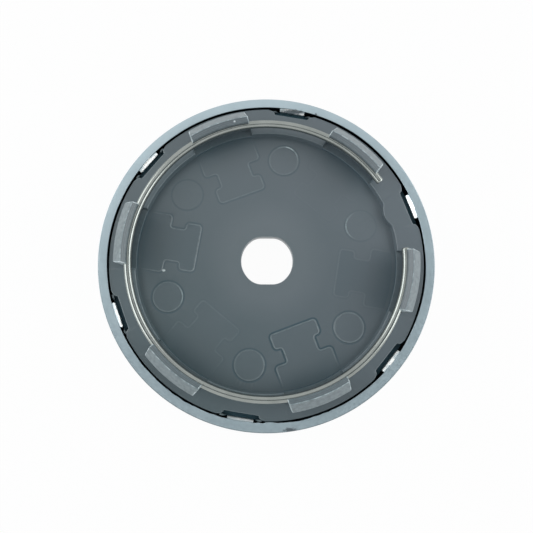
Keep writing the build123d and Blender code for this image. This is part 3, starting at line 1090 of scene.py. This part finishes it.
# painted highlights: strong on the top ridge, over the whole outer slope, at the lip edge and on the drawn
# lines, faint elsewhere
TOP_HIGHLIGHT, OUTSIDE_HIGHLIGHT, LIP_EDGE_HIGHLIGHT, INSIDE_HIGHLIGHT, LINE_HIGHLIGHT = 1.35, 0.58, 0.4, 0.03, 0.5
LIP_EDGE, LIP_EDGE_RISE = 0.05, 1.2  # how far the lip's highlighted edge reaches, outward and down to
HIGHLIGHT_FROM = 0.5  # above the flange

at_top = section[:, 1] > clip_top_z - NEAR
at_lip = (section[:, 0] < CLIP_LIP_RADIUS + LIP_EDGE) & (section[:, 1] > wire_z + LIP_EDGE_RISE)
outside = section[:, 0] > TOP_RADIUS - TOP_WIDTH / 2
clip_highlight = np.select([at_top, outside, at_lip], [TOP_HIGHLIGHT, OUTSIDE_HIGHLIGHT, LIP_EDGE_HIGHLIGHT], INSIDE_HIGHLIGHT)
for share in DRAWN_LINES:
    clip_highlight[np.linalg.norm(section - slope_point(share), axis=1) < NEAR] = LINE_HIGHLIGHT
clip_highlight *= section[:, 1] > flange_z + HIGHLIGHT_FROM
print(f"clip wear: {np.count_nonzero(clip_highlight)} of {len(clip_highlight)} points")

# %% Clip prototype
CLIP_HALF = 5.8
CLIP_CORNER = 1.1  # rounded outer corners in plan
CORNER_ANGLES = (0, 20, 40, 55, 70, 80, 90)
MIDDLE_STEPS = 17
END_SHARES = (0.0, 0.3)  # loops in the rounding of each end
# painted highlights along the two rounded ends
END_HIGHLIGHT, BESIDE_END_HIGHLIGHT, BESIDE_END = 2.1, 1.7, 0.03

clip = Draft()


def across_clip(section, y):
    """The section at a distance across the clip, kept behind the rounded corner of the blade."""
    x = np.sqrt(section[:, 0] ** 2 - y**2)
    past = abs(y) - (CLIP_HALF - CLIP_CORNER)
    if past > 0:
        x = np.minimum(x, BARB_RADIUS - CLIP_CORNER + sqrt(max(CLIP_CORNER**2 - past**2, 0)))
    return np.column_stack((x, np.full(len(x), y), section[:, 1]))


def end_loop(share, side):
    """A loop in the rounding of one end, from the end face (0) to the full section (1)."""
    inset = CLIP_ROUND * (1 - sqrt(1 - (1 - share) ** 2))
    y = side * (CLIP_HALF - share * CLIP_ROUND)
    return clip.loop(across_clip(shifted(section, -inset), y), None, END_HIGHLIGHT)


full_half = CLIP_HALF - CLIP_ROUND
corner_places = [full_half - CLIP_CORNER * (1 - sin(radians(a))) for a in CORNER_ANGLES]
middle_places = np.linspace(-corner_places[0], corner_places[0], MIDDLE_STEPS)
places = [*[-y for y in reversed(corner_places[1:])], *middle_places, *corner_places[1:]]

clip_loops = [end_loop(share, -1) for share in END_SHARES]
for y in places:
    at_end = BESIDE_END_HIGHLIGHT if abs(y) > full_half - BESIDE_END else 0.0
    clip_loops.append(clip.loop(across_clip(section, y), None, np.maximum(clip_highlight, at_end)))
clip_loops += [end_loop(share, 1) for share in reversed(END_SHARES)]
clip.skin(clip_loops)
clip.cap(clip_loops[0])
clip.cap(clip_loops[-1])
clip_blade = clip.piece("clip_blade")

# %% [markdown]
# ## Trim ring
# The ring is turned: a flat rear face, a bore that the flange drops into, a lip that the body rests on and
# a convex front. Its section is swept round the axis in fine steps. The bore isn't quite true on the real
# one, so the dark slot beside the flange is wider at the upper right, and its edge is ragged at the bottom.

# %% Section of the ring
RING_BAND = 1.72  # width of the flat rear face
FRONT_LIP = 2.78  # reach of the front lip, inward from the bore
FRONT_LIP_EDGE = 1.2  # height of the lip at the front opening
CROWN_INSET, CROWN_WIDTH = 2.65, 0.5
RING_EDGE = 0.8  # straight edge at the widest place
RING_ROUND, BORE_ROUND, OPENING_ROUND = 0.1, 0.07, 0.1
RIM_GUARD, BORE_GUARD = 0.22, 0.2  # points that keep rim and slot shade from running over the rear face

RING_BORE = rim_radius - RING_BAND
OPENING_RADIUS = RING_BORE - FRONT_LIP
CROWN_RADIUS = rim_radius - CROWN_INSET
RING_EDGE_Z = ring_rear_z - RING_EDGE
FRONT_LIP_Z = FLANGE_FRONT_Z - FRONT_LIP_EDGE


def ring_section():
    """The section in radius and height, counter-clockwise from the crown."""
    crown_inner = CROWN_RADIUS - CROWN_WIDTH
    bow = ((crown_inner - OPENING_RADIUS) ** 2 + FRONT_LIP_Z**2) / (2 * FRONT_LIP_Z)
    sweep = degrees(acos(1 - FRONT_LIP_Z / bow))
    lip = arc(bow, 270 - sweep, 270, 8) + (crown_inner, bow)
    front = arc(1, 270, 360, 24) * (CROWN_INSET, RING_EDGE_Z) + (CROWN_RADIUS, RING_EDGE_Z)
    corners = [
        *[(x, z, 0) for x, z in front],
        (rim_radius, ring_rear_z, RING_ROUND),
        (rim_radius - RIM_GUARD, ring_rear_z, 0),
        (RING_BORE, ring_rear_z, BORE_ROUND),
        (RING_BORE, ring_rear_z - BORE_GUARD, 0),
        (RING_BORE, FLANGE_FRONT_Z, 0),
        (OPENING_RADIUS, FLANGE_FRONT_Z, OPENING_ROUND),
        *[(x, z, 0) for x, z in lip],
    ]
    return rounded(corners, 5)


ring_profile = ring_section()
print(f"ring section: {len(ring_profile)} points, bore {RING_BORE:.2f} mm")

# %% Unevenness of the bore
RING_STEPS = 720
BORE_SWELLS = (  # angle, spread, millimetres wider
    (56, 24, 0.08),
    (270, 12, -0.07),
    (284, 6, 0.13),
    (240, 14, 0.06),
    (5, 12, -0.05),
    (335, 10, -0.05),
)
BORE_CHIPS = ((276, 16, 0.19), (232, 30, 0.11))  # angle, spread, largest chip
SWELL_POWER, CHIP_POWER = 2, 4  # a swell fades gently, a chipped stretch ends sooner
CHIP_SEED, CHIP_SPAN, CHIP_CONTRAST = 7, 4, 3

angles = 360 * np.arange(RING_STEPS) / RING_STEPS


def stretches(places, power):
    """The sizes of some stretches round the ring, each fading out on both sides, added up."""
    total = np.zeros(RING_STEPS)
    for at, spread, size in places:
        gap = (angles - at + 180) % 360 - 180
        total += size * np.exp(-((gap / spread) ** power))
    return total


draws = np.random.default_rng(CHIP_SEED).uniform(0, 1, RING_STEPS)
chips = np.convolve(np.tile(draws, 3), np.ones(CHIP_SPAN) / CHIP_SPAN, "same")[RING_STEPS : 2 * RING_STEPS]
chips = np.clip(0.5 + CHIP_CONTRAST * (chips - 0.5), 0, 1)
swells = stretches(BORE_SWELLS, SWELL_POWER)
ragged = stretches(BORE_CHIPS, CHIP_POWER) * chips
print(f"bore: {swells.min():.2f} to {swells.max():.2f} mm off, chips up to {ragged.max():.2f} mm")

# %% Ring shell
BORE_NEAR, BORE_FOOT = 0.25, 0.1  # what moves with the bore: how near to it, and above its foot
BRINK_DEPTH = 0.5  # only the upper part is ragged
SLOT_NEAR, SLOT_DEPTH = 0.02, 0.1  # the slot with painted shade: on the bore, and below the rear face
RIM_NEAR = 0.12  # the rim with painted shade: how near to its edge
RIM_SHADE, RIM_SHADE_LOWER, RIM_SHADE_SIDES = 0.25, 0.25, 0.08

ring = Draft()
radius, height = ring_profile[:, 0], ring_profile[:, 1]
at_bore = (np.abs(radius - RING_BORE) < BORE_NEAR) & (height > FLANGE_FRONT_Z + BORE_FOOT)
at_brink = at_bore & (height > ring_rear_z - BRINK_DEPTH)
in_slot = (np.abs(radius - RING_BORE) < SLOT_NEAR) & (height < ring_rear_z - SLOT_DEPTH)
at_rim = (radius > rim_radius - RIM_NEAR) & (height > ring_rear_z - RIM_NEAR)
ring_loops = []
for angle, swell, chip in zip(np.radians(angles), swells, ragged):
    uneven = radius + swell * at_bore - chip * at_brink
    # painted shade along the outer rim: most at the bottom, some at the sides, none at the top
    dull = RIM_SHADE - RIM_SHADE_LOWER * sin(angle) + RIM_SHADE_SIDES * abs(cos(angle))
    points = np.column_stack((uneven * cos(angle), uneven * sin(angle), height))
    ring_loops.append(ring.loop(points, None, np.select([in_slot, at_rim], [-1.0, -dull], 0.0)))
ring.skin([*ring_loops, ring_loops[0]])
ring_shell = ring.piece("ring_shell")

# %% [markdown]
# ## Hooks
# Six small hooks stand out from the bore of the ring, over the ledges in the notches. Their tops slope
# inward and throw back the light from the far side, and their plating is painted near white as a painted
# highlight, so they read as white bars.

# %% Hook prototype
HOOK_HALF, HOOK_FLAT, HOOK_STEPS = 2.5, 2.1, 15
HOOK_REACH, HOOK_ROOT = 0.6, 0.6  # inward from the bore, and into the ring
HOOK_CLEARANCE, HOOK_DROP, HOOK_NOSE = 0.05, 0.2, 0.8
HOOK_ROUND, NOSE_ROUND = 0.06, 0.05
HOOK_END = 0.12  # rounding of its two ends
HOOK_END_STEPS = (0, 0.04, 0.12)
# painted highlight over the whole hook, near white in the silver finish
HOOK_HIGHLIGHT = 1.0

hook_low_z = LEDGE_Z + HOOK_CLEARANCE
hook_high_z = ring_rear_z - HOOK_DROP
hook_section = rounded(
    [
        (RING_BORE - HOOK_REACH, hook_low_z, NOSE_ROUND),
        (RING_BORE + HOOK_ROOT, hook_low_z, 0),
        (RING_BORE + HOOK_ROOT, hook_high_z, 0),
        (RING_BORE, hook_high_z, HOOK_ROUND),
        (RING_BORE - HOOK_REACH, hook_low_z + HOOK_NOSE, HOOK_ROUND),
    ]
)
hook = Draft()
hook_ends = [HOOK_HALF - step for step in HOOK_END_STEPS]
hook_middle = np.linspace(-HOOK_FLAT, HOOK_FLAT, HOOK_STEPS)
hook_loops = []
for y in [*[-y for y in hook_ends], *hook_middle, *reversed(hook_ends)]:
    past = np.clip((abs(y) - HOOK_HALF + HOOK_END) / HOOK_END, 0, 1)
    outline = shifted(hook_section, -HOOK_END * (1 - sqrt(1 - past**2)))
    points = np.column_stack((outline[:, 0], np.full(len(outline), y), outline[:, 1]))
    hook_loops.append(hook.loop(points, None, HOOK_HIGHLIGHT))
hook.skin(hook_loops)
hook.cap(hook_loops[0])
hook.cap(hook_loops[-1])
hook_block = hook.piece("hook_block")

# %% [markdown]
# ## Six stations
# Clips and hooks repeat six times, so one Geometry Nodes tree sets a prototype round the axis, makes each
# copy a little uneven and unites the copies with their shell into one closed skin. Copying in a loop would
# do too, but the tree keeps the count, the first angle and the unevenness as named inputs.

# %% Tree helpers
def geometry_tree(name, inputs):
    """An empty tree for a modifier; returns it, its inputs' sockets and their identifiers."""
    made = bpy.data.node_groups.new(name, "GeometryNodeTree")
    made.is_modifier = True
    identifiers = {}
    for label, kind in inputs.items():
        socket = made.interface.new_socket(label, in_out="INPUT", socket_type=f"NodeSocket{kind}")
        identifiers[label] = socket.identifier
    made.interface.new_socket("Skin", in_out="OUTPUT", socket_type="NodeSocketGeometry")
    return made, made.nodes.new("NodeGroupInput").outputs, identifiers


def end_tree(tree, skin, material):
    """Ends a tree in Realize Instances and Set Material."""
    real = node(tree, "GeometryNodeRealizeInstances", {0: skin}).outputs[0]
    coated = node(tree, "GeometryNodeSetMaterial", {"Geometry": real, "Material": material}).outputs[0]
    node(tree, "NodeGroupOutput", {0: coated})


def plain_copy(made, name):
    """A new object with the evaluated mesh of another, which is removed."""
    depsgraph = bpy.context.evaluated_depsgraph_get()
    mesh = bpy.data.meshes.new_from_object(made.evaluated_get(depsgraph), depsgraph=depsgraph)
    bpy.data.meshes.remove(made.data)  # takes its object along, so that the name is free
    mesh.name = name
    copy = bpy.data.objects.new(name, mesh)
    scene.collection.objects.link(copy)
    return copy


def run_tree(made, tree, identifiers, values, name):
    """Runs a tree on an object and returns the result as a plain mesh."""
    modifier = made.modifiers.new(tree.name, "NODES")
    modifier.node_group = tree
    for label, value in values.items():
        modifier[identifiers[label]] = value
    return plain_copy(made, name)


print("tree helpers: geometry_tree, end_tree, plain_copy, run_tree")

# %% Stations tree
WAVE_SCALE = 900.0  # of the noise that makes copies uneven


def stations_tree():
    """Base shell plus a prototype repeated round the axis, united."""
    inputs = {
        "Base": "Geometry",
        "Prototype": "Object",
        "Count": "Int",
        "First Angle": "Float",
        "Unevenness": "Float",
        "Finish": "Material",
    }
    made, given, identifiers = geometry_tree("stations_round_axis", inputs)
    prototype = node(made, "GeometryNodeObjectInfo", {"Object": given["Prototype"]}).outputs["Geometry"]
    points = node(made, "GeometryNodePoints", {"Count": given["Count"]}).outputs[0]
    index = node(made, "GeometryNodeInputIndex").outputs[0]
    pitch = math_node(made, "DIVIDE", 2 * pi, given["Count"])
    first = math_node(made, "RADIANS", given["First Angle"])
    angle = math_node(made, "ADD", math_node(made, "MULTIPLY", index, pitch), first)
    euler = node(made, "ShaderNodeCombineXYZ", {"Z": angle}).outputs[0]
    turn = node(made, "FunctionNodeEulerToRotation", {0: euler}).outputs[0]
    placed = {"Points": points, "Instance": prototype, "Rotation": turn}
    copies = node(made, "GeometryNodeInstanceOnPoints", placed).outputs[0]
    real = node(made, "GeometryNodeRealizeInstances", {0: copies}).outputs[0]

    wave = node(made, "ShaderNodeTexNoise", {"Scale": WAVE_SCALE}).outputs["Color"]
    centred = vector_node(made, "SUBTRACT", wave, (0.5, 0.5, 0.5))[0]
    amount = {0: centred, "Scale": given["Unevenness"]}
    swing = node(made, "ShaderNodeVectorMath", amount, operation="SCALE").outputs[0]
    uneven = node(made, "GeometryNodeSetPosition", {"Geometry": real, "Offset": swing}).outputs[0]

    unite = node(made, "GeometryNodeMeshBoolean", operation="UNION", solver="MANIFOLD")
    for part in (given["Base"], uneven):
        split = node(made, "GeometryNodeTriangulate", {0: part}).outputs[0]
        made.links.new(split, unite.inputs["Mesh 2"])
    whole = node(made, "GeometryNodeTriangulate", {0: unite.outputs["Mesh"]}).outputs[0]
    end_tree(made, whole, given["Finish"])
    return made, identifiers


stations = stations_tree()
print("stations tree inputs:", ", ".join(stations[1]))

# %% Body with clips, ring with hooks
CLIP_UNEVENNESS, HOOK_UNEVENNESS = 0.02, 0.05


def with_stations(shell, prototype, first_angle, unevenness, material, name):
    """The shell united with its prototype at every station."""
    values = {
        "Prototype": prototype,
        "Count": STATIONS,
        "First Angle": first_angle,
        "Unevenness": unevenness * MM,
        "Finish": FINISHES[material],
    }
    made = run_tree(shell, *stations, values, name)
    bpy.data.objects.remove(prototype)
    print(f"{name} {len(made.data.polygons)} faces")
    return made


moulded_body = with_stations(body_shell, clip_blade, CLIP_ANGLE, CLIP_UNEVENNESS, "body", "moulded_body")
bezel_ring = with_stations(ring_shell, hook_block, HOOK_ANGLE, HOOK_UNEVENNESS, "ring", "bezel_ring")

# %% [markdown]
# ## Spring wire
# The wire is a round section swept along an open arc. A second tree does that, and draws the radius in at
# both ends, as a cropped and tumbled wire has.

# %% Wire tree
WIRE_STEPS, WIRE_SIDES = 900, 28
WIRE_END, WIRE_END_RADIUS = 0.0012, 0.82  # share of the length that is drawn in, and its thinnest radius


def wire_tree():
    """A round wire along an arc with softened ends."""
    inputs = {
        "Arc Radius": "Float",
        "Start": "Float",
        "Sweep": "Float",
        "Wire Radius": "Float",
        "Height": "Float",
        "Finish": "Material",
    }
    made, given, identifiers = geometry_tree("wire_along_arc", inputs)
    turns = {
        "Resolution": WIRE_STEPS,
        "Radius": given["Arc Radius"],
        "Start Angle": math_node(made, "RADIANS", given["Start"]),
        "Sweep Angle": math_node(made, "RADIANS", given["Sweep"]),
    }
    path = node(made, "GeometryNodeCurveArc", turns).outputs["Curve"]
    lift = node(made, "ShaderNodeCombineXYZ", {"Z": given["Height"]}).outputs[0]
    lifted = node(made, "GeometryNodeSetPosition", {"Geometry": path, "Offset": lift}).outputs[0]
    along = node(made, "GeometryNodeSplineParameter").outputs["Factor"]
    near_end = math_node(made, "MINIMUM", along, math_node(made, "SUBTRACT", 1.0, along))
    taper = remap(made, near_end, 0.0, WIRE_END, WIRE_END_RADIUS, 1.0)
    circle = {"Resolution": WIRE_SIDES, "Radius": given["Wire Radius"]}
    profile = node(made, "GeometryNodeCurvePrimitiveCircle", circle).outputs["Curve"]
    sweep = {"Curve": lifted, "Profile Curve": profile, "Scale": taper, "Fill Caps": True}
    end_tree(made, node(made, "GeometryNodeCurveToMesh", sweep).outputs[0], given["Finish"])
    return made, identifiers


wire_making = wire_tree()
print("wire tree inputs:", ", ".join(wire_making[1]))

# %% Split wire
wire_values = {
    "Arc Radius": wire_radius * MM,
    "Start": 34.0,
    "Sweep": 330.0,
    "Wire Radius": wire_diameter / 2 * MM,
    "Height": wire_z * MM,
    "Finish": FINISHES["wire"],
}
carrier = bpy.data.objects.new("wire_carrier", bpy.data.meshes.new("wire_carrier"))
scene.collection.objects.link(carrier)
split_wire = run_tree(carrier, *wire_making, wire_values, "split_wire")
print(f"split_wire {len(split_wire.data.polygons)} faces")

# %% [markdown]
# ## Finish the pieces
# Flat faces should stay flat and rounded edges should flow. Sharp edges are marked by angle, and level
# faces lead when the normals are weighted. Then each piece is attached to the frame, and the CAD part that
# it stands for is hidden.

# %% Normals and frame
SHARP = radians(34)
LEVEL = 0.99999  # upward part of the normal of a level face
STRONG, MEDIUM = 16384, 0  # strengths that the modifier knows


def settle(made, node_name):
    """Smooth shading with weighted normals, then the piece takes its place in the frame."""
    mesh = made.data
    mesh.shade_smooth()
    mesh.set_sharp_from_angle(angle=SHARP)
    strengths = [STRONG if abs(face.normal.z) > LEVEL else MEDIUM for face in mesh.polygons]
    strength = mesh.attributes.new("__mod_weightednormals_faceweight", "INT", "FACE")
    strength.data.foreach_set("value", strengths)
    weigh = made.modifiers.new("weigh", "WEIGHTED_NORMAL")
    weigh.keep_sharp = True
    weigh.use_face_influence = True
    done = plain_copy(made, made.name)
    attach(done, "root")
    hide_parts(node_name)
    triangles = sum(len(face.vertices) - 2 for face in done.data.polygons)
    print(f"{done.name}: {triangles} triangles")


settle(moulded_body, "cap_body")
settle(bezel_ring, "trim_ring")
settle(split_wire, "spring_wire")
